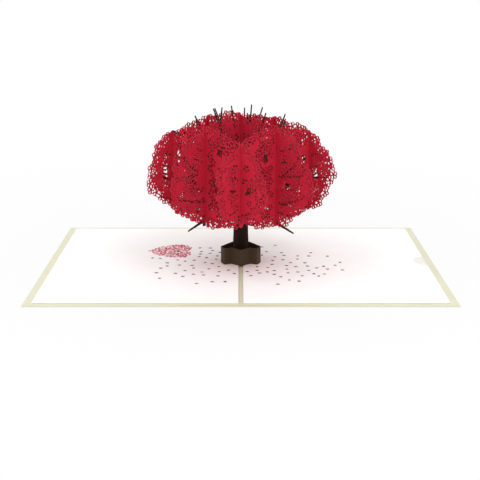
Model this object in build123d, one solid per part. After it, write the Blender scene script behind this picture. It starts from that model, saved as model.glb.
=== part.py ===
"""Open pop-up card: folded cover, two inner panels, a pull-out note and a tree of slotted paper slices.

Origin: under the middle of the spine, on the surface that the card lies on.
+X runs across the open card, +Y along the spine towards the back, +Z up. Millimetres.
"""
from build123d import *
import math
import os

# ---- Card ----
CARD_WIDTH = 254.0         # open, across the spine
CARD_DEPTH = 177.8         # along the spine
COVER_T = 0.35             # cover card thickness
CREASE_WIDTH = 0.8         # scored groove in the cover along the spine
CREASE_DEPTH = 0.12
BORDER = 5.0               # cover showing outside the panels
SPINE_GAP = 3.0            # cover showing between the panels

# ---- Inner panels, folded under along their edges ----
PANEL_T = 0.30             # panel paper thickness
FOLD_GAP = 0.10            # air between a panel and its folded-under flap
FLAP_WIDTH = 8.0           # width of each glue flap
FLAP_RELIEF = 48.0         # length of the spine-side flap left out under the tree
FOLD_RADIUS = 0.30         # outside radius of the folded edges
NOTCH_RADIUS = 11.0        # thumb notch
NOTCH_OFFSET = 3.5         # notch centre beyond the panel's outer edge

# ---- Pull-out note ----
NOTE_T = 0.25
NOTE_LENGTH = 100.0        # from the thumb notch edge towards the spine
NOTE_SIDE_CLEARANCE = 0.5  # between the note and each flap
NOTE_LIFT = 0.05           # between the note and the cover
NOTE_CORNER = 2.0

# ---- Tree slices ----
BRANCH_T = 0.30            # brown branch paper
BLOSSOM_T = 0.25           # red blossom paper
SLICE_PITCH = 31.0         # distance between parallel slices
SLOT_CLEARANCE = 0.20      # slot width beyond the three glued layers
LAP_GAP = 0.30             # height left between the two slot ends of a half lap

# ---- Canopy: a flattened dome that all slices are sections of ----
CANOPY_RADIUS = 61.0
CANOPY_RISE = 37.0         # dome above its widest level
CANOPY_DROP = 36.0         # dome below its widest level
CANOPY_MID = 61.0          # height of the widest level above the panels
DROP_POWER = 0.87          # under 1 squares the underside a little
BLOSSOM_R = 3.0            # radius of a rim blossom
RIM_PITCH = 4.9            # distance between rim blossoms
WAVE_1 = 0.034             # lobes of the rim, as a share of its radius
WAVE_2 = 0.022

# ---- Trunk ----
TRUNK_FOOT = 8.0           # half-width of the trunk where it stands on the panels
TRUNK_TOP = 6.4            # half-width under the canopy
TRUNK_TOP_Z = 38.0         # height above the panels where the limbs leave it
HUB_HALF = 3.6             # half-width of the trunk's upright core in the canopy
BAR_SIDE = 2.4             # brown paper left on each side of a slot
CENTRE_BAR_DROP = 31.0     # how far a centre slice's bars reach below the widest level
OUTER_BAR_DROP = 23.0      # the same on an outer slice
BAR_RISE = 19.0            # how far the bars of a slice slotted from above reach over that level

# ---- Collar round the trunk ----
COLLAR_T = 0.35
COLLAR_HEIGHT = 11.0
COLLAR_TIP = 12.0          # front point from the spine's middle
COLLAR_BACK = 11.5         # back point
COLLAR_SIDE = 13.1         # half-width
COLLAR_GAP = 0.55          # between the trunk's corners and the collar's inward folds
COLLAR_FOLD_R = 0.45       # outside radius of its folds

# ---- Glue tabs through slits in the panels ----
TAB_CLEARANCE = 0.10       # around a tab in its slit
TRUNK_TAB_W = 3.0
TRUNK_TAB_PLACE = 5.5      # from the spine's middle along the slice
TRUNK_FOOT_LENGTH = 3.0
COLLAR_TAB_W = 4.0
COLLAR_FOOT_LENGTH = 5.0

# ---- Levels ----
FLAP_TOP = COVER_T + PANEL_T
SHEET_BOTTOM = FLAP_TOP + FOLD_GAP
PANEL_TOP = SHEET_BOTTOM + PANEL_T
MID_Z = PANEL_TOP + CANOPY_MID
ABOVE_ALL = 2 * (MID_Z + CANOPY_RISE)
SLOT_WIDTH = BRANCH_T + 2 * BLOSSOM_T + SLOT_CLEARANCE
CROSSINGS = (-SLICE_PITCH, 0.0, SLICE_PITCH)

# Limbs of a centre slice, one side: points as (distance from the trunk's middle, height above the
# panels), then the width at the start and at the tip.
CENTRE_LIMBS = [
    ([(2, 34), (20, 37), (36, 32), (46.5, 28)], 3.6, 0.9),
    ([(2, 39), (20, 46), (38, 46), (54, 50)], 3.8, 0.9),
    ([(2, 45), (18, 57), (36, 63), (55, 64)], 3.8, 0.9),
    ([(2, 51), (14, 67), (28, 77), (44, 81)], 3.4, 0.9),
    ([(2, 57), (8, 75), (15, 87), (24, 92)], 3.0, 0.9),
    ([(20, 46), (32, 53), (47, 56)], 2.2, 0.8),
    ([(18, 57), (26, 69), (40, 73)], 2.2, 0.8),
    ([(14, 67), (18, 79), (31, 86)], 2.2, 0.8),
    ([(20, 37), (32, 40), (45, 39)], 2.2, 0.8),
    ([(36, 63), (45, 70), (50, 76)], 1.8, 0.8),
]
# Limbs of an outer slice, one side, spreading from its middle bar.
OUTER_LIMBS = [
    ([(0, 37), (16, 38), (31, 43), (42, 45)], 2.8, 0.9),
    ([(0, 43), (16, 51), (32, 56), (47, 60)], 3.0, 0.9),
    ([(0, 52), (14, 63), (28, 71), (42, 74)], 3.0, 0.9),
    ([(0, 61), (9, 76), (20, 84), (31, 86)], 2.6, 0.9),
    ([(14, 38), (21, 35), (27, 36)], 1.8, 0.8),
    ([(16, 51), (27, 63), (40, 66)], 2.0, 0.8),
    ([(14, 63), (18, 75), (29, 79)], 2.0, 0.8),
]
# Bare twigs that stand out above the blossoms: (foot, tip) pairs for each slice.
TWIGS = {
    "a2": [((-15, 84), (-24, 103.5)), ((-18.5, 92), (-16.5, 103.5)), ((-3, 77), (-8.4, 103.8)),
           ((3, 80), (3.4, 101.4)), ((9, 76), (20, 100))],
    "b2": [((-7, 80), (-9.6, 104.6)), ((-15, 84), (-22.1, 100.6)), ((-8, 76), (-5.8, 99)),
           ((14, 82), (24, 99))],
    "a1": [((2, 80), (5.0, 97.2)), ((4, 82), (8.2, 97.0)), ((-9, 76), (-16, 93))],
    "a3": [((-3, 80), (-11.2, 94.5)), ((9, 76), (15, 93))],
    "b1": [((3, 80), (8.6, 96.5)), ((-9, 76), (-14, 92))],
    "b3": [((-3, 80), (-10.0, 95.5)), ((9, 76), (17, 92))],
}
TWIG_FOOT = 1.7
TWIG_TIP = 0.8

# Open windows in the blossom sheets, as ellipses: (along the slice, height above the panels, half
# width, half height).
CENTRE_WINDOWS = [(21, 53, 3.2, 2.4), (-23, 50, 2.8, 3.4), (12, 78, 2.6, 3.4), (-13, 75, 2.4, 3.6),
                  (40, 57, 3.2, 2.6), (-42, 59, 3.4, 2.4), (38, 73, 2.4, 3.2), (-25, 68, 2.6, 3.0),
                  (-38, 42, 3.0, 2.2), (24, 41, 3.0, 2.0), (24, 84, 2.2, 2.6)]
OUTER_WINDOWS = [(-25.5, 69, 2.2, 5.6), (-38, 59, 2.4, 3.0), (25.5, 66, 2.2, 6.0), (37.5, 58, 2.4, 3.4),
                 (11, 54, 2.8, 3.0), (-12, 50, 2.8, 2.6), (-10, 74, 2.2, 3.2), (13, 78, 2.4, 2.6),
                 (22, 47, 2.8, 2.2), (-24, 44, 2.6, 2.2)]


def block(x, y, z):
    """A box from three (low, high) pairs."""
    size = (x[1] - x[0], y[1] - y[0], z[1] - z[0])
    return Pos(x[0] + size[0] / 2, y[0] + size[1] / 2, z[0] + size[2] / 2) * Box(*size)


def tab(place, along, outward, width, thickness, length):
    """A glue tab: straight down through a panel, then bent flat against the panel's underside."""
    seat = Plane(origin=(place[0], place[1], 0), x_dir=(along[0], along[1], 0), z_dir=(0, 0, 1))
    side = 1 if outward[0] * seat.y_dir.X + outward[1] * seat.y_dir.Y > 0 else -1
    down = block((-width / 2, width / 2), (-thickness / 2, thickness / 2),
                 (SHEET_BOTTOM - thickness, PANEL_TOP))
    reach = sorted((-side * thickness / 2, side * length))
    foot = block((-width / 2, width / 2), reach, (SHEET_BOTTOM - thickness, SHEET_BOTTOM))
    return seat.location * (down + foot)


def slit(place, along, width, thickness):
    """The opening in a panel that a tab passes through."""
    seat = Plane(origin=(place[0], place[1], 0), x_dir=(along[0], along[1], 0), z_dir=(0, 0, 1))
    half_w = width / 2 + TAB_CLEARANCE
    half_t = thickness / 2 + TAB_CLEARANCE
    return seat.location * block((-half_w, half_w), (-half_t, half_t), (FLAP_TOP, PANEL_TOP + 1))


# ---- Slices ----
DIAGONAL = math.sqrt(0.5)


def slice_plane(family, offset):
    """Upright plane of a slice: its x runs along the slice, its y up, its z across the paper."""
    if family == "a":
        along, across = (DIAGONAL, DIAGONAL), (DIAGONAL, -DIAGONAL)
    else:
        along, across = (-DIAGONAL, DIAGONAL), (DIAGONAL, DIAGONAL)
    origin = (offset * across[0], offset * across[1], 0)
    return Plane(origin=origin, x_dir=(along[0], along[1], 0), z_dir=(across[0], across[1], 0))


def rim_centres(offset, phase):
    """Centres of the blossoms round a slice's rim, evenly spaced along the waved dome section."""
    share = math.sqrt(1 - (offset / CANOPY_RADIUS) ** 2)
    half_length = CANOPY_RADIUS * share - BLOSSOM_R
    rise = CANOPY_RISE * share - BLOSSOM_R
    drop = CANOPY_DROP * share - BLOSSOM_R

    def rim(angle):
        wave = 1 + WAVE_1 * math.sin(7 * angle + phase) + WAVE_2 * math.sin(17 * angle + 2 * phase)
        height = math.sin(angle)
        up = rise * height if height > 0 else -drop * (-height) ** DROP_POWER
        return wave * half_length * math.cos(angle), MID_Z + wave * up

    steps = 1440
    path = [rim(2 * math.pi * step / steps) for step in range(steps + 1)]
    lengths = [math.dist(path[step], path[step + 1]) for step in range(steps)]
    count = round(sum(lengths) / RIM_PITCH)
    pitch = sum(lengths) / count
    centres = []
    walked = 0.0
    for step in range(steps):
        if walked >= len(centres) * pitch and len(centres) < count:
            centres.append(path[step])
        walked += lengths[step]
    return centres


def scalloped_face(centres):
    """A face bounded by the outer arcs of a ring of overlapping round blossoms."""
    corners = []
    for before, after in zip(centres, centres[1:] + centres[:1]):
        gap = math.dist(before, after)
        reach = math.sqrt(BLOSSOM_R ** 2 - (gap / 2) ** 2)
        out = ((after[1] - before[1]) / gap, -(after[0] - before[0]) / gap)
        corners.append(((before[0] + after[0]) / 2 + reach * out[0],
                        (before[1] + after[1]) / 2 + reach * out[1]))
    arcs = []
    for index, centre in enumerate(centres):
        start, end = corners[index - 1], corners[index]
        chord = math.dist(start, end)
        out = ((end[1] - start[1]) / chord, -(end[0] - start[0]) / chord)
        middle = (centre[0] + BLOSSOM_R * out[0], centre[1] + BLOSSOM_R * out[1])
        arcs.append(ThreePointArc(start, middle, end))
    return make_face(Curve() + arcs)


def slots(family):
    """Half-lap slots: from below in the a slices and from above in the b slices."""
    if family == "a":
        low, high = -1.0, MID_Z + LAP_GAP / 2
    else:
        low, high = MID_Z - LAP_GAP / 2, ABOVE_ALL
    cut = Rectangle(SLOT_WIDTH, high - low)
    return [Pos(place, (low + high) / 2) * cut for place in CROSSINGS]


def blossom_profile(family, offset, phase):
    """One blossom sheet: lobed rim, open windows and slots."""
    windows = CENTRE_WINDOWS if offset == 0 else OUTER_WINDOWS
    turn = 1 if family == "a" else -1
    openings = [Pos(turn * along, PANEL_TOP + up) * Ellipse(half_w, half_h)
                for along, up, half_w, half_h in windows]
    return scalloped_face(rim_centres(offset, phase)) - openings - slots(family)


def limb(points, start_width, end_width):
    """A tapering branch along a few straight runs."""
    left = []
    right = []
    last = len(points) - 1
    for index, point in enumerate(points):
        before = points[max(index - 1, 0)]
        after = points[min(index + 1, last)]
        length = math.dist(before, after)
        half = (start_width + (end_width - start_width) * index / last) / 2
        side = (-(after[1] - before[1]) / length * half, (after[0] - before[0]) / length * half)
        left.append((point[0] + side[0], point[1] + side[1]))
        right.append((point[0] - side[0], point[1] - side[1]))
    return make_face(Polyline(left + right[::-1], close=True))


def sway(point, phase):
    """Small uneven shift that keeps a slice's two sides from being mirror images."""
    return point[0], PANEL_TOP + point[1] + 1.3 * math.sin(0.16 * point[0] + phase)


def branch_profile(name, family, offset, phase):
    """One branch sheet: trunk or middle bar, limbs, twigs, bars beside the slots, and slots."""
    bar = SLOT_WIDTH + 2 * BAR_SIDE
    share = math.sqrt(1 - (offset / CANOPY_RADIUS) ** 2)
    top = MID_Z + 0.78 * CANOPY_RISE * share
    shapes = []
    if offset == 0:
        foot = PANEL_TOP
        crown = foot + TRUNK_TOP_Z
        half_outline = [(TRUNK_FOOT, foot), (TRUNK_TOP + 0.25, (foot + crown) / 2), (TRUNK_TOP, crown),
                        (HUB_HALF, MID_Z - 6)]
        outline = half_outline + [(-across, up) for across, up in reversed(half_outline)]
        shapes.append(make_face(Polyline(outline, close=True)))
        shapes.append(Pos(0, (MID_Z - 7 + top) / 2) * Rectangle(2 * HUB_HALF, top - MID_Z + 7))
        limbs = CENTRE_LIMBS
        bar_drop = CENTRE_BAR_DROP
    else:
        low = MID_Z - 0.74 * CANOPY_DROP * share
        shapes.append(Pos(0, (low + top) / 2) * Rectangle(bar, top - low))
        limbs = OUTER_LIMBS
        bar_drop = OUTER_BAR_DROP
    for place in (-SLICE_PITCH, SLICE_PITCH):
        low, high = (MID_Z - bar_drop, MID_Z + 7) if family == "a" else (MID_Z - 7, MID_Z + BAR_RISE)
        shapes.append(Pos(place, (low + high) / 2) * Rectangle(bar, high - low))
    for points, start_width, end_width in limbs:
        for side in (-1, 1):
            path = [sway((side * point[0], point[1]), phase) for point in points]
            shapes.append(limb(path, start_width, end_width))
    for foot_point, tip_point in TWIGS[name]:
        path = [(foot_point[0], PANEL_TOP + foot_point[1]), (tip_point[0], PANEL_TOP + tip_point[1])]
        shapes.append(limb(path, TWIG_FOOT, TWIG_TIP))
    return shapes[0] + shapes[1:] - slots(family)


def sheet_solid(profile, plane, low, high):
    """A profile drawn in a slice's plane, given its paper thickness."""
    solid = extrude(profile, high - low)
    return plane.location * Pos(0, 0, low) * solid


def trunk_tabs(family):
    """Places and directions of the glue tabs under a centre slice."""
    plane = slice_plane(family, 0.0)
    along = (plane.x_dir.X, plane.x_dir.Y)
    tabs = []
    for side in (-1, 1):
        place = (side * TRUNK_TAB_PLACE * along[0], side * TRUNK_TAB_PLACE * along[1])
        outward = (math.copysign(1.0, place[0]), 0.0)
        tabs.append((place, along, outward))
    return tabs


# ---- Collar ----
def collar_points():
    """Corners of the collar in plan, from the front point round the right side to the back point."""
    fold = TRUNK_FOOT * DIAGONAL + COLLAR_GAP
    right = [(fold, -fold), (10.7, -8.3), (COLLAR_SIDE, -3.0), (fold - 0.3, fold + 2.0)]
    return [(0, -COLLAR_TIP)] + right + [(0, COLLAR_BACK)] + [(-x, y) for x, y in reversed(right)]


def collar_tabs():
    """Glue tabs on the collar's side walls."""
    points = collar_points()
    tabs = []
    for start, end in ((2, 3), (3, 4)):
        for side in (-1, 1):
            first = (side * points[start][0], points[start][1])
            second = (side * points[end][0], points[end][1])
            length = math.dist(first, second)
            along = ((second[0] - first[0]) / length, (second[1] - first[1]) / length)
            outward = (along[1] * side, -along[0] * side)
            middle = ((first[0] + second[0]) / 2 - outward[0] * COLLAR_T / 2,
                      (first[1] + second[1]) / 2 - outward[1] * COLLAR_T / 2)
            tabs.append((middle, along, outward))
    return tabs


def make_collar():
    outline = make_face(Polyline(collar_points(), close=True))
    outline = fillet(outline.vertices(), COLLAR_FOLD_R)
    ring = outline - offset(outline, -COLLAR_T, kind=Kind.INTERSECTION)
    collar = Pos(0, 0, PANEL_TOP) * extrude(ring, COLLAR_HEIGHT)
    for place, along, outward in collar_tabs():
        collar += tab(place, along, outward, COLLAR_TAB_W, COLLAR_T, COLLAR_FOOT_LENGTH)
    return collar


# ---- Card ----
def make_cover():
    cover = block((-CARD_WIDTH / 2, CARD_WIDTH / 2), (-CARD_DEPTH / 2, CARD_DEPTH / 2), (0, COVER_T))
    groove = Polyline([(-CREASE_WIDTH / 2, COVER_T), (0, COVER_T - CREASE_DEPTH),
                       (CREASE_WIDTH / 2, COVER_T)], close=True)
    groove = Plane.XZ * make_face(groove)
    return cover - extrude(groove, CARD_DEPTH, both=True)


def make_panel(side):
    """A panel with flaps folded under at the front, back and spine; the left one outside as well."""
    inner = SPINE_GAP / 2
    outer = CARD_WIDTH / 2 - BORDER
    half = CARD_DEPTH / 2 - BORDER
    pocket = side > 0
    panel = block((inner, outer), (-half, half), (COVER_T, PANEL_TOP))
    folded = [edge for edge in panel.edges()
              if abs(edge.center().Z - COVER_T) < 0.01 or abs(edge.center().Z - PANEL_TOP) < 0.01]
    if pocket:
        folded = [edge for edge in folded if edge.center().X < outer - 0.01]
    panel = fillet(folded, FOLD_RADIUS)
    open_end = outer + 1 if pocket else outer - PANEL_T
    panel -= block((inner + PANEL_T, open_end), (-half + PANEL_T, half - PANEL_T), (FLAP_TOP, SHEET_BOTTOM))
    open_end = outer + 1 if pocket else outer - FLAP_WIDTH
    panel -= block((inner + FLAP_WIDTH, open_end), (-half + FLAP_WIDTH, half - FLAP_WIDTH),
                   (COVER_T - 1, FLAP_TOP))
    panel -= block((inner - 1, inner + FLAP_WIDTH), (-FLAP_RELIEF / 2, FLAP_RELIEF / 2),
                   (COVER_T - 1, SHEET_BOTTOM))
    if pocket:
        panel -= Pos(outer + NOTCH_OFFSET, 0, PANEL_TOP) * Cylinder(NOTCH_RADIUS, 4 * PANEL_TOP)
    if side < 0:
        panel = mirror(panel, about=Plane.YZ)
    for place, along, _ in trunk_tabs("a") + trunk_tabs("b"):
        if place[0] * side > 0:
            panel -= slit(place, along, TRUNK_TAB_W, BRANCH_T)
    for place, along, _ in collar_tabs():
        if place[0] * side > 0:
            panel -= slit(place, along, COLLAR_TAB_W, COLLAR_T)
    return panel


def make_note():
    outer = CARD_WIDTH / 2 - BORDER
    width = CARD_DEPTH - 2 * (BORDER + FLAP_WIDTH + NOTE_SIDE_CLEARANCE)
    face = RectangleRounded(NOTE_LENGTH, width, NOTE_CORNER)
    return Pos(outer - NOTE_LENGTH / 2, 0, COVER_T + NOTE_LIFT) * extrude(face, NOTE_T)


def make_tree():
    """Every branch sheet and blossom sheet, by node name."""
    nodes = {}
    for family, towards_front in (("a", 1), ("b", -1)):
        for number, step in ((1, 1), (2, 0), (3, -1)):
            name = f"{family}{number}"
            distance = step * towards_front * SLICE_PITCH
            phase = 1.1 * number + (0.0 if family == "a" else 2.3)
            plane = slice_plane(family, distance)
            half = BRANCH_T / 2
            branches = sheet_solid(branch_profile(name, family, distance, phase), plane, -half, half)
            if number == 2:
                for place, along, outward in trunk_tabs(family):
                    branches += tab(place, along, outward, TRUNK_TAB_W, BRANCH_T, TRUNK_FOOT_LENGTH)
            nodes[f"branches_{name}"] = branches
            profile = blossom_profile(family, distance, phase)
            faces = ((half, half + BLOSSOM_T), (-half - BLOSSOM_T, -half))
            for side, (low, high) in zip(("front", "back"), faces[::towards_front]):
                nodes[f"blossoms_{name}_{side}"] = sheet_solid(profile, plane, low, high)
    return nodes


os.makedirs("parts", exist_ok=True)
pieces = {
    "cover": make_cover(),
    "left_panel": make_panel(-1),
    "right_panel": make_panel(1),
    "pull_out_note": make_note(),
    "trunk_collar": make_collar(),
}
pieces.update(make_tree())
for node, piece in pieces.items():
    export_step(piece, f"parts/{node}.step")
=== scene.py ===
import math
import random

import bpy
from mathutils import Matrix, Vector
from mathutils.geometry import delaunay_2d_cdt


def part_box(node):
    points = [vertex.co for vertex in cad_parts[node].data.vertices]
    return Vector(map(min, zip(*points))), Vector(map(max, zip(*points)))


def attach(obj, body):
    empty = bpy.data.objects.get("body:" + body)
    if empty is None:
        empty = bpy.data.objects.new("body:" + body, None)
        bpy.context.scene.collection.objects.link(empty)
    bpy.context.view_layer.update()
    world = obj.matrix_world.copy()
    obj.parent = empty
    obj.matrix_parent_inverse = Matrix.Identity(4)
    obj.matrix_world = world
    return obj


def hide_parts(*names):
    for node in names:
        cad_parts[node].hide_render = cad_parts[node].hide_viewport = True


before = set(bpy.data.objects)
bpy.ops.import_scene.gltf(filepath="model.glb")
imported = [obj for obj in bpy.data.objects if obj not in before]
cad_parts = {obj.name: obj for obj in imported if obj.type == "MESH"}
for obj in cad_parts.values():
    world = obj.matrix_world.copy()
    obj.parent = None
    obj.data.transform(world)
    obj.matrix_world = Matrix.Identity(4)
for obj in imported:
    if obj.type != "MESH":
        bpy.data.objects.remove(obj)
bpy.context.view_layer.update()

MM = 0.001

# ---- Slices, in millimetres, as the CAD cuts them ----
BRANCH_T = 0.30
BLOSSOM_T = 0.25
SLOT_WIDTH = 1.0
LAP_GAP = 0.30
PANEL_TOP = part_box("right_panel")[1][2] / MM
CANOPY_RADIUS = 61.0
CANOPY_RISE = 37.0
CANOPY_DROP = 36.0
MID_Z = PANEL_TOP + 61.0
DROP_POWER = 0.87
BLOSSOM_R = 3.0
RIM_PITCH = 4.9
WAVE_1 = 0.034
WAVE_2 = 0.022
DIAGONAL = math.sqrt(0.5)
SLICE_PITCH = round(abs(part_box("branches_a1")[0][0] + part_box("branches_a1")[1][0]) / 2 / MM / DIAGONAL, 2)
SLICE_LINES = (-SLICE_PITCH, 0, SLICE_PITCH)
CENTRE_WINDOWS = [(21, 53, 3.2, 2.4), (-23, 50, 2.8, 3.4), (12, 78, 2.6, 3.4), (-13, 75, 2.4, 3.6),
                  (40, 57, 3.2, 2.6), (-42, 59, 3.4, 2.4), (38, 73, 2.4, 3.2), (-25, 68, 2.6, 3.0),
                  (-38, 42, 3.0, 2.2), (24, 41, 3.0, 2.0), (24, 84, 2.2, 2.6)]
OUTER_WINDOWS = [(-25.5, 69, 2.2, 5.6), (-38, 59, 2.4, 3.0), (25.5, 66, 2.2, 6.0), (37.5, 58, 2.4, 3.4),
                 (11, 54, 2.8, 3.0), (-12, 50, 2.8, 2.6), (-10, 74, 2.2, 3.2), (13, 78, 2.4, 2.6),
                 (22, 47, 2.8, 2.2), (-24, 44, 2.6, 2.2)]

# ---- Blossom lace ----
PETALS = 5
PETAL_OUT = 1.66           # petal centre from the blossom's centre
PETAL_R = 1.34
EYE_OUT = 1.72             # petal hole from the blossom's centre
EYE_LONG = 1.0
EYE_WIDE = 0.80
EYE_SIDES = 8
EYE_KEEP = 1.75            # no petal hole nearer a crossing line than this
ROW_SHARE = 0.87           # row height, as a share of the spacing
JITTER = 0.7
RIM_CLEAR = 4.3            # from an inside blossom to a rim blossom
WINDOW_CLEAR = 1.2         # from a blossom to a window
CROSSING_CLEAR = 1.9       # past the plain strip at a crossing line
FRILL_OUT = 1.6            # blossoms on a window's rim, out from its edge
FRILL_COUNT = 9
FRILL_SIZE = 0.9
RAGGED_STEPS = 30          # points round a window
CUT_NEAR = 4.6             # blossoms this far apart, to CUT_FAR, may have a cut between them
CUT_FAR = 6.6
CUT_CLEAR = 2.25           # from a cut's middle to any blossom's centre
CUT_SPREAD = 0.42          # cut's width, for each mm between blossoms past CUT_FROM
CUT_FROM = 3.4
GRID = 4.75                 # spacing of blossoms inside a sheet
STRIP = 1.4                # plain paper each side of a crossing line
GAP_SHARE = 0.8            # share of blossom neighbours with a cut between them
PATCH_SHARE = 0.12         # share of blossoms left plain


# ---- Materials ----
def srgb(red, green, blue):
    """A display colour from 0 to 255 as the linear colour a shader takes."""
    values = []
    for channel in (red, green, blue):
        share = channel / 255
        values.append(share / 12.92 if share <= 0.04045 else ((share + 0.055) / 1.055) ** 2.4)
    return (*values, 1.0)


def node(tree, kind, **inputs):
    """A new shader node with some of its inputs set by name."""
    made = tree.nodes.new(kind)
    for name, value in inputs.items():
        made.inputs[name.replace("_", " ")].default_value = value
    return made


def paper(name, dark, light, roughness=0.75, mottle=90.0, fibre=1400.0, bump=0.25, specular=0.3):
    """Uncoated paper: cloudy colour between two tones, with a fine fibre bump."""
    material = bpy.data.materials.new(name)
    material.use_nodes = True
    tree = material.node_tree
    shader = tree.nodes["Principled BSDF"]
    shader.inputs["Roughness"].default_value = roughness
    shader.inputs["Specular IOR Level"].default_value = specular
    place = node(tree, "ShaderNodeTexCoord")
    clouds = node(tree, "ShaderNodeTexNoise", Scale=mottle, Detail=4.0, Roughness=0.6)
    tones = node(tree, "ShaderNodeMix")
    tones.data_type = "RGBA"
    tones.inputs["A"].default_value = dark
    tones.inputs["B"].default_value = light
    fibres = node(tree, "ShaderNodeTexNoise", Scale=fibre, Detail=6.0, Roughness=0.7, Distortion=0.6)
    relief = node(tree, "ShaderNodeBump", Strength=bump, Distance=0.0001)
    link = tree.links.new
    link(place.outputs["Object"], clouds.inputs["Vector"])
    link(place.outputs["Object"], fibres.inputs["Vector"])
    link(clouds.outputs["Fac"], tones.inputs["Factor"])
    link(tones.outputs["Result"], shader.inputs["Base Color"])
    link(fibres.outputs["Fac"], relief.inputs["Height"])
    link(relief.outputs["Normal"], shader.inputs["Normal"])
    return material


def panel_paper():
    """White paper with painted pink shade round the foot of the tree: painted shadow and painted red light
    bounced from the canopy.
    """
    material = paper("panel_paper", srgb(246, 245, 243), srgb(253, 252, 251), bump=0.18)
    tree = material.node_tree
    shader = tree.nodes["Principled BSDF"]
    plain = shader.inputs["Base Color"].links[0].from_socket
    place = node(tree, "ShaderNodeTexCoord")
    squeeze = node(tree, "ShaderNodeMapping", Location=(0.0, 0.24, 0.0), Scale=(19.0, 24.0, 0.0))
    reach = node(tree, "ShaderNodeVectorMath")
    reach.operation = "LENGTH"
    fade = node(tree, "ShaderNodeValToRGB")
    stops = fade.color_ramp.elements
    stops[0].position = 0.0
    stops[0].color = (1, 1, 1, 1)
    stops[1].position = 1.0
    stops[1].color = (0, 0, 0, 1)
    middle = fade.color_ramp.elements.new(0.45)
    middle.color = (0.42, 0.42, 0.42, 1)
    # painted shade and painted pink bounce light, strongest at the trunk and fading outwards
    painted_glow = node(tree, "ShaderNodeMix")
    painted_glow.data_type = "RGBA"
    painted_glow.inputs["B"].default_value = srgb(242, 216, 217)
    link = tree.links.new
    link(place.outputs["Object"], squeeze.inputs["Vector"])
    link(squeeze.outputs["Vector"], reach.inputs[0])
    link(reach.outputs["Value"], fade.inputs["Fac"])
    link(fade.outputs["Color"], painted_glow.inputs["Factor"])
    link(plain, painted_glow.inputs["A"])
    link(painted_glow.outputs["Result"], shader.inputs["Base Color"])
    return material


def thin_paper(material, share):
    """Lets some light through a sheet, as thin paper does."""
    tree = material.node_tree
    shader = tree.nodes["Principled BSDF"]
    through = node(tree, "ShaderNodeBsdfTranslucent")
    both = node(tree, "ShaderNodeMixShader", Fac=share)
    link = tree.links.new
    link(shader.inputs["Base Color"].links[0].from_socket, through.inputs["Color"])
    link(shader.outputs["BSDF"], both.inputs[1])
    link(through.outputs["BSDF"], both.inputs[2])
    link(both.outputs["Shader"], tree.nodes["Material Output"].inputs["Surface"])


def pearl_card():
    """Cream card with a pearly surface."""
    material = paper("cover_card", srgb(205, 202, 172), srgb(222, 220, 192), roughness=0.42, mottle=60.0,
                     fibre=2200.0, bump=0.12, specular=0.5)
    shader = material.node_tree.nodes["Principled BSDF"]
    shader.inputs["Coat Weight"].default_value = 0.25
    shader.inputs["Coat Roughness"].default_value = 0.3
    return material


RED = paper("red_paper", srgb(194, 26, 50), srgb(218, 42, 68), mottle=55.0, specular=0.15)
RED_EDGE = paper("red_paper_cut_edge", srgb(158, 28, 48), srgb(190, 44, 66), mottle=400.0)
BROWN = paper("branch_paper", srgb(38, 24, 14), srgb(56, 38, 25), specular=0.2)
COLLAR = paper("collar_paper", srgb(54, 40, 24), srgb(72, 56, 36), specular=0.25)
NOTE = paper("note_paper", srgb(228, 226, 218), srgb(238, 236, 228))
PETAL_INK = paper("petal_ink", srgb(66, 34, 42), srgb(92, 46, 56), mottle=300.0)
HEART_INK = paper("heart_ink", srgb(206, 54, 84), srgb(228, 104, 126), mottle=300.0)
DEEP_INK = paper("deep_ink", srgb(112, 18, 34), srgb(142, 28, 48), mottle=300.0)
thin_paper(RED, 0.18)
PANEL = panel_paper()
COVER = pearl_card()


def dress(name, material):
    """Gives a CAD node its material."""
    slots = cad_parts[name].material_slots
    for slot in slots:
        slot.material = material


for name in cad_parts:
    if name.startswith("branches"):
        dress(name, BROWN)
dress("cover", COVER)
dress("left_panel", PANEL)
dress("right_panel", PANEL)
dress("pull_out_note", NOTE)
dress("trunk_collar", COLLAR)


# ---- Lace drawn flat in a slice's own plane ----
def rim_centres(offset, phase):
    """Centres of the blossoms round a slice's rim, evenly spaced along the waved dome section."""
    share = math.sqrt(1 - (offset / CANOPY_RADIUS) ** 2)
    half_length = CANOPY_RADIUS * share - BLOSSOM_R
    rise = CANOPY_RISE * share - BLOSSOM_R
    drop = CANOPY_DROP * share - BLOSSOM_R

    def rim(angle):
        wave = 1 + WAVE_1 * math.sin(7 * angle + phase) + WAVE_2 * math.sin(17 * angle + 2 * phase)
        height = math.sin(angle)
        up = rise * height if height > 0 else -drop * (-height) ** DROP_POWER
        return wave * half_length * math.cos(angle), MID_Z + wave * up

    steps = 1440
    path = [rim(2 * math.pi * step / steps) for step in range(steps + 1)]
    lengths = [math.dist(path[step], path[step + 1]) for step in range(steps)]
    count = round(sum(lengths) / RIM_PITCH)
    pitch = sum(lengths) / count
    centres = []
    walked = 0.0
    for step in range(steps):
        if walked >= len(centres) * pitch and len(centres) < count:
            centres.append(path[step])
        walked += lengths[step]
    return centres


def rosette(centre, turn, size=1.0, steps=7):
    """Outline of a five-petalled blossom."""
    points = []
    lobe = 2 * math.pi / PETALS
    for petal in range(PETALS):
        for step in range(steps):
            lean = (step / steps - 0.5) * lobe
            reach = PETAL_OUT * math.cos(lean)
            reach += math.sqrt(PETAL_R ** 2 - (PETAL_OUT * math.sin(lean)) ** 2)
            angle = turn + petal * lobe + lean
            points.append((centre[0] + size * reach * math.cos(angle),
                           centre[1] + size * reach * math.sin(angle)))
    return points


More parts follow.
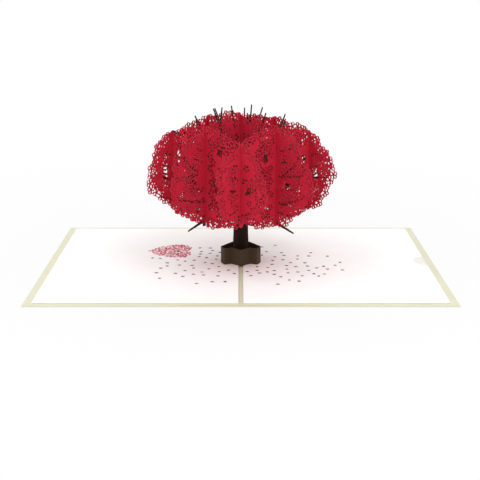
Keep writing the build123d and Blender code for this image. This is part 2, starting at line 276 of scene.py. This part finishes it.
def petal_eyes(centre, turn, size=1.0):
    """The five cut-outs of a blossom, each a small egg pointing outwards."""
    eyes = []
    for petal in range(PETALS):
        angle = turn + petal * 2 * math.pi / PETALS
        axis = (math.cos(angle), math.sin(angle))
        middle = (centre[0] + EYE_OUT * size * axis[0], centre[1] + EYE_OUT * size * axis[1])
        eye = []
        for side in range(EYE_SIDES):
            bend = 2 * math.pi * side / EYE_SIDES
            long = EYE_LONG * size * math.cos(bend)
            wide = EYE_WIDE * size * math.sin(bend) * (1 + 0.25 * math.cos(bend))
            eye.append((middle[0] + long * axis[0] - wide * axis[1],
                        middle[1] + long * axis[1] + wide * axis[0]))
        eyes.append(eye)
    return eyes


def slim_cut(x, z, turn, long, wide):
    """A slim oval cut-out, which opens the paper between two blossoms."""
    points = []
    for side in range(EYE_SIDES):
        bend = 2 * math.pi * side / EYE_SIDES
        along, across = long / 2 * math.cos(bend), wide / 2 * math.sin(bend)
        points.append((x + along * math.cos(turn) - across * math.sin(turn),
                       z + along * math.sin(turn) + across * math.cos(turn)))
    return points


def inside(point, polygon):
    """Whether a point lies in a closed polygon."""
    hit = False
    for (x0, y0), (x1, y1) in zip(polygon, polygon[1:] + polygon[:1]):
        if (y0 > point[1]) != (y1 > point[1]) and point[0] < (x1 - x0) * (point[1] - y0) / (y1 - y0) + x0:
            hit = not hit
    return hit


def lace(family, offset, phase):
    """Solid and cut-out outlines of one blossom sheet."""
    dice = random.Random(f"{family}{offset}")
    rim = rim_centres(offset, phase)
    solids = [rim]
    cuts = []
    centres = []
    for centre in rim:
        turn = dice.uniform(0, 2 * math.pi)
        solids.append(rosette(centre, turn))
        centres.append((centre, turn, dice.uniform(0.96, 1.08)))
    windows = CENTRE_WINDOWS if offset == 0 else OUTER_WINDOWS
    mirror = 1 if family == "a" else -1
    openings = [(mirror * along, PANEL_TOP + up, half_w, half_h) for along, up, half_w, half_h in windows]
    row_height = GRID * ROW_SHARE
    rows = int(2 * CANOPY_RISE / row_height) + 2
    columns = int(2 * CANOPY_RADIUS / GRID) + 2
    for row in range(rows):
        for column in range(columns):
            x = (column - columns / 2 + 0.5 * (row % 2)) * GRID + dice.uniform(-JITTER, JITTER)
            z = MID_Z + (row - rows / 2) * row_height + dice.uniform(-JITTER, JITTER)
            turn = dice.uniform(0, 2 * math.pi)
            size = dice.uniform(0.82, 1.04)
            plain = dice.random() < PATCH_SHARE
            if not inside((x, z), rim) or min(math.dist((x, z), spot) for spot in rim) < RIM_CLEAR:
                continue
            if any(((x - ox) / (ow + WINDOW_CLEAR)) ** 2 + ((z - oz) / (oh + WINDOW_CLEAR)) ** 2 < 1
                   for ox, oz, ow, oh in openings):
                continue
            near = min(abs(x - place) for place in SLICE_LINES)
            if near < STRIP + CROSSING_CLEAR or plain:
                continue
            centres.append(((x, z), turn, size))
    for ox, oz, ow, oh in openings:
        for step in range(FRILL_COUNT):
            angle = 2 * math.pi * step / FRILL_COUNT
            spot = (ox + (ow + FRILL_OUT) * math.cos(angle), oz + (oh + FRILL_OUT) * math.sin(angle))
            if step % 3 == 0 and inside(spot, rim):
                solids.append(rosette(spot, angle, FRILL_SIZE))
    for centre, turn, size in centres:
        for eye in petal_eyes(centre, turn, size):
            middle = (sum(x for x, _ in eye) / EYE_SIDES, sum(z for _, z in eye) / EYE_SIDES)
            near = min(abs(middle[0] - place) for place in SLICE_LINES)
            if near > EYE_KEEP:
                cuts.append(eye)
    for ox, oz, ow, oh in openings:
        lobes = dice.randint(4, 6)
        phase_of = dice.uniform(0, 2 * math.pi)
        ragged = []
        for step in range(RAGGED_STEPS):
            angle = 2 * math.pi * step / RAGGED_STEPS
            reach = 1.02 + 0.2 * math.sin(lobes * angle + phase_of) + 0.1 * math.sin(2 * lobes * angle)
            ragged.append((ox + ow * reach * math.cos(angle), oz + oh * reach * math.sin(angle)))
        cuts.append(ragged)
    for first, (spot, _, _) in enumerate(centres):
        for other, _, _ in centres[first + 1:]:
            apart = math.dist(spot, other)
            if CUT_NEAR < apart < CUT_FAR:
                x, z = (spot[0] + other[0]) / 2, (spot[1] + other[1]) / 2
                near = min(abs(x - place) for place in SLICE_LINES)
                if near < STRIP or dice.random() > GAP_SHARE:
                    continue
                if min(math.dist((x, z), third) for third, _, _ in centres) < CUT_CLEAR:
                    continue
                turn = math.atan2(other[1] - spot[1], other[0] - spot[0])
                wide = CUT_SPREAD * (apart - CUT_FROM)
                cuts.append(slim_cut(x, z, turn + math.pi / 2, dice.uniform(1.3, 2.1), wide))
    low, high = (0.0, MID_Z + LAP_GAP / 2) if family == "a" else (MID_Z - LAP_GAP / 2, 2 * MID_Z)
    for place in SLICE_LINES:
        half = SLOT_WIDTH / 2
        cuts.append([(place - half, low), (place + half, low), (place + half, high), (place - half, high)])
    return solids, cuts


def triangles(solids, cuts):
    """Triangulates the union of the solid outlines less the cut-outs."""
    points = []
    faces = []
    for outline in solids + cuts:
        first = len(points)
        points.extend(Vector(point) for point in outline)
        faces.append(list(range(first, len(points))))
    verts, _, tris, _, _, owners = delaunay_2d_cdt(points, [], faces, 1, 1e-4)
    kept = []
    for tri, owner in zip(tris, owners):
        if any(index < len(solids) for index in owner) and all(index < len(solids) for index in owner):
            kept.append(tuple(tri))
    return [tuple(vert) for vert in verts], kept


def sheet_mesh(name, flat, family, offset, low, high):
    """Gives a flat cut pattern its paper thickness in a slice's plane."""
    verts, tris = flat
    if family == "a":
        along, across = (DIAGONAL, DIAGONAL), (DIAGONAL, -DIAGONAL)
    else:
        along, across = (-DIAGONAL, DIAGONAL), (DIAGONAL, DIAGONAL)
    used = sorted({index for tri in tris for index in tri})
    number = {index: place for place, index in enumerate(used)}
    count = len(used)
    points = []
    for layer in (high, low):
        for index in used:
            along_by, up = verts[index]
            points.append(((along_by * along[0] + (offset + layer) * across[0]) * MM,
                           (along_by * along[1] + (offset + layer) * across[1]) * MM, up * MM))
    faces = [tuple(number[index] for index in tri) for tri in tris]
    faces += [tuple(number[index] + count for index in reversed(tri)) for tri in tris]
    flat_count = len(faces)
    edges = {(tri[step], tri[(step + 1) % 3]) for tri in tris for step in range(3)}
    for start, end in edges:
        if (end, start) not in edges:
            a, b = number[start], number[end]
            faces.append((a, a + count, b + count, b))
    mesh = bpy.data.meshes.new(name)
    mesh.from_pydata(points, [], faces)
    mesh.materials.append(RED)
    mesh.materials.append(RED_EDGE)
    mesh.polygons.foreach_set("material_index", [0] * flat_count + [1] * (len(faces) - flat_count))
    mesh.update()
    piece = bpy.data.objects.new(name, mesh)
    bpy.context.scene.collection.objects.link(piece)
    return piece


for family, towards_front in (("a", 1), ("b", -1)):
    for number, step in ((1, 1), (2, 0), (3, -1)):
        distance = step * towards_front * SLICE_PITCH
        phase = 1.1 * number + (0.0 if family == "a" else 2.3)
        flat = triangles(*lace(family, distance, phase))
        half = BRANCH_T / 2
        layers = ((half, half + BLOSSOM_T), (-half - BLOSSOM_T, -half))
        for side, (low, high) in zip(("front", "back"), layers[::towards_front]):
            name = f"blossoms_{family}{number}_{side}"
            piece = sheet_mesh(f"lace_{family}{number}_{side}", flat, family, distance, low, high)
            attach(piece, "card")
            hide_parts(name)


# ---- Print on the panels: scattered petals and a heart ----
def flat_shapes(name, outlines, materials, height):
    """Thin printed shapes lying on the panels; outlines are (points, material number) in mm."""
    points = []
    faces = []
    for outline, _ in outlines:
        first = len(points)
        points.extend((x * MM, y * MM, height * MM) for x, y in outline)
        faces.append(tuple(range(first, len(points))))
    mesh = bpy.data.meshes.new(name)
    mesh.from_pydata(points, [], faces)
    for material in materials:
        mesh.materials.append(material)
    mesh.polygons.foreach_set("material_index", [material for _, material in outlines])
    mesh.update()
    piece = bpy.data.objects.new(name, mesh)
    bpy.context.scene.collection.objects.link(piece)
    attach(piece, "card")
    return piece


def petal(x, y, turn, length, width):
    """A pointed petal outline."""
    points = []
    for step in range(10):
        angle = 2 * math.pi * step / 10
        along = length / 2 * math.cos(angle)
        across = width / 2 * math.sin(angle) * (1 - 0.35 * math.cos(angle))
        points.append((x + along * math.cos(turn) - across * math.sin(turn),
                       y + along * math.sin(turn) + across * math.cos(turn)))
    return points


INK_HEIGHT = PANEL_TOP + 0.02
HEART = (-48.5, 24.0)      # centre of the printed heart
HEART_SIZE = 13.6
HEART_TURN = -90.0         # degrees, which puts its tip to the left
HEART_GAP = 1.5            # least distance between the heart's petals
PETAL_COUNT = 92
PETAL_REACH = 66.0         # furthest petals each side of the spine
PETAL_FRONT = -50.0
PETAL_BACK = 46.0
SPINE_CLEAR = 4.0
COLLAR_CLEAR = 16.5        # no petals nearer the trunk than this
PETAL_GAP = 5.0            # least distance between petals


def fallen_petals():
    dice = random.Random(11)
    spots = []
    while len(spots) < PETAL_COUNT:
        x = dice.gauss(0, 30)
        y = dice.gauss(-8, 20)
        if abs(x) < SPINE_CLEAR or abs(x) > PETAL_REACH or not PETAL_FRONT < y < PETAL_BACK:
            continue
        if math.hypot(x, y) < COLLAR_CLEAR:
            continue
        if math.hypot((x - HEART[0]) / 1.25, y - HEART[1]) < HEART_SIZE + 2:
            continue
        if any(math.dist((x, y), spot) < PETAL_GAP for spot in spots):
            continue
        spots.append((x, y))
    shapes = []
    for x, y in spots:
        turn = dice.uniform(-0.5, 0.5) + (0 if dice.random() < 0.7 else 1.3)
        shapes.append((petal(x, y, turn, dice.uniform(2.1, 2.8), dice.uniform(1.7, 2.2)),
                       0 if dice.random() < 0.75 else 1))
    return shapes


def in_heart(u, v):
    """Inside test of a heart two units wide, tip down."""
    v = v * 1.05 + 0.12
    return (u * u + v * v - 1) ** 3 - u * u * v ** 3 < 0


def heart_petals():
    dice = random.Random(5)
    shapes = []
    spots = []
    for _ in range(5000):
        u = dice.uniform(-1.25, 1.25)
        v = dice.uniform(-1.3, 1.25)
        lean = math.radians(HEART_TURN)
        x = HEART[0] + HEART_SIZE * (u * math.cos(lean) - v * math.sin(lean))
        y = HEART[1] + HEART_SIZE * (u * math.sin(lean) + v * math.cos(lean))
        if not in_heart(u, v) or any(math.dist((x, y), spot) < HEART_GAP for spot in spots):
            continue
        spots.append((x, y))
        shapes.append((petal(x, y, dice.uniform(0, 6.3), dice.uniform(1.8, 2.3), dice.uniform(1.4, 1.8)),
                       dice.choice((0, 0, 0, 0, 1))))
    return shapes


flat_shapes("fallen_petals", fallen_petals(), [PETAL_INK, DEEP_INK], INK_HEIGHT)
flat_shapes("petal_heart", heart_petals(), [HEART_INK, DEEP_INK, PETAL_INK], INK_HEIGHT)


# ---- Floor, light and camera ----
def white_floor():
    """A pale floor, faintly shaded close to the card and white further out."""
    bpy.ops.mesh.primitive_plane_add(size=6.0, location=(0, 0, -0.0002))
    floor = bpy.context.object
    floor.name = "floor"
    material = bpy.data.materials.new("floor")
    material.use_nodes = True
    tree = material.node_tree
    shader = tree.nodes["Principled BSDF"]
    shader.inputs["Base Color"].default_value = (0.8, 0.8, 0.8, 1)
    shader.inputs["Roughness"].default_value = 0.9
    shader.inputs["Specular IOR Level"].default_value = 0.0
    glow = node(tree, "ShaderNodeEmission", Color=(1, 1, 1, 1), Strength=1.0)
    rays = node(tree, "ShaderNodeLightPath")
    seen = node(tree, "ShaderNodeMath")
    seen.operation = "MULTIPLY"
    place = node(tree, "ShaderNodeTexCoord")
    reach = node(tree, "ShaderNodeVectorMath")
    reach.operation = "LENGTH"
    fade = node(tree, "ShaderNodeMapRange")
    for socket, value in (("From Min", 0.15), ("From Max", 0.45), ("To Min", 0.72), ("To Max", 1.0)):
        fade.inputs[socket].default_value = value
    both = node(tree, "ShaderNodeMixShader")
    link = tree.links.new
    link(place.outputs["Object"], reach.inputs[0])
    link(reach.outputs["Value"], fade.inputs["Value"])
    link(rays.outputs["Is Camera Ray"], seen.inputs[0])
    link(fade.outputs["Result"], seen.inputs[1])
    link(seen.outputs["Value"], both.inputs["Fac"])
    link(shader.outputs["BSDF"], both.inputs[1])
    link(glow.outputs["Emission"], both.inputs[2])
    link(both.outputs["Shader"], tree.nodes["Material Output"].inputs["Surface"])
    floor.data.materials.append(material)


def white_world(strength):
    """Even light from all round, white where the camera, gloss or glass sees it."""
    world = bpy.data.worlds.new("studio")
    bpy.context.scene.world = world
    world.use_nodes = True
    tree = world.node_tree
    soft = tree.nodes["Background"]
    soft.inputs["Color"].default_value = (1, 1, 1, 1)
    soft.inputs["Strength"].default_value = strength
    seen = node(tree, "ShaderNodeBackground", Color=(1, 1, 1, 1), Strength=1.0)
    rays = node(tree, "ShaderNodeLightPath")
    gloss = node(tree, "ShaderNodeMath")
    gloss.operation = "MAXIMUM"
    glass = node(tree, "ShaderNodeMath")
    glass.operation = "MAXIMUM"
    both = node(tree, "ShaderNodeMixShader")
    link = tree.links.new
    link(rays.outputs["Is Camera Ray"], gloss.inputs[0])
    link(rays.outputs["Is Glossy Ray"], gloss.inputs[1])
    link(gloss.outputs["Value"], glass.inputs[0])
    link(rays.outputs["Is Transmission Ray"], glass.inputs[1])
    link(glass.outputs["Value"], both.inputs["Fac"])
    link(soft.outputs["Background"], both.inputs[1])
    link(seen.outputs["Background"], both.inputs[2])
    link(both.outputs["Shader"], tree.nodes["World Output"].inputs["Surface"])


def area_light(name, place, target, size, power):
    light = bpy.data.lights.new(name, "AREA")
    light.shape = "DISK"
    light.size = size
    light.energy = power
    lamp = bpy.data.objects.new(name, light)
    lamp.location = place
    aim = Vector(target) - Vector(place)
    lamp.rotation_euler = aim.to_track_quat("-Z", "Y").to_euler()
    bpy.context.scene.collection.objects.link(lamp)


white_floor()
white_world(1.0)
area_light("key", (0.7, -0.9, 1.3), (0, 0, 0.03), 0.9, 6.0)
area_light("fill", (-0.9, -0.5, 0.9), (0, 0, 0.04), 1.0, 2.5)

camera_data = bpy.data.cameras.new("camera")
camera_data.lens = 75.2
camera_data.sensor_width = 36.0
camera = bpy.data.objects.new("camera", camera_data)
camera.location = (-0.0005, -0.6365, 0.192)
camera.rotation_euler = (math.radians(90 - 15.5), 0, 0)
bpy.context.scene.collection.objects.link(camera)
bpy.context.scene.camera = camera
bpy.context.scene.view_settings.view_transform = "Standard"
